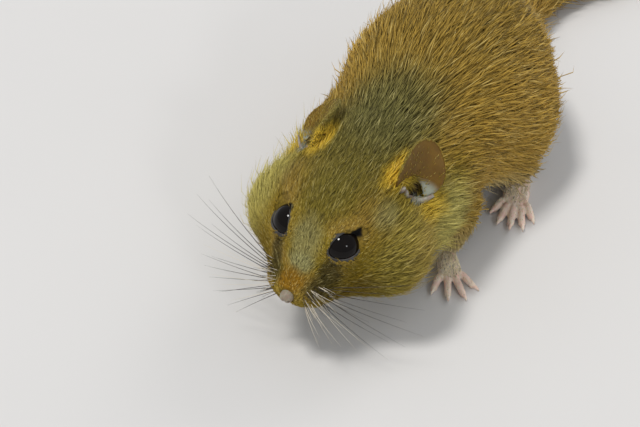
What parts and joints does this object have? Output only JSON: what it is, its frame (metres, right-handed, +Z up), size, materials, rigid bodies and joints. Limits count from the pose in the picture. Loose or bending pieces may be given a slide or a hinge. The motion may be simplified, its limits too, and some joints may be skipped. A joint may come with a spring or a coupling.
{
  "type": "hazel dormouse model",
  "caption": "Life-size still model of a hazel dormouse standing on all fours, with short golden fur, large dark eyes, cupped ears and a furry tail laid on the floor behind it.",
  "frame": {"origin": "on the floor, under the middle of the animal's bounding box", "axes": "the animal looks along -Y, its left side is +X and +Z is up; its feet and tail rest at z = 0"},
  "size_m": [0.0422, 0.1296, 0.0343],
  "materials": {
    "fur": "matt",
    "tail_fur": "matt",
    "ear": "matt",
    "bare_skin": "satin",
    "nose": "satin",
    "eye": "gloss"
  },
  "bodies": {
    "root": {"head": "fur", "nose": "nose", "eye_left": "eye", "eye_right": "eye", "ear_left": "ear", "ear_right": "ear", "foreleg_left": "fur", "forepaw_left": "bare_skin", "hind_leg_left": "fur", "hind_foot_left": "bare_skin", "foreleg_right": "fur", "forepaw_right": "bare_skin", "hind_leg_right": "fur", "hind_foot_right": "bare_skin", "neck": "fur", "torso": "fur", "tail_root": "tail_fur", "tail_middle": "tail_fur", "tail_end": "tail_fur"}
  },
  "joints": []
}
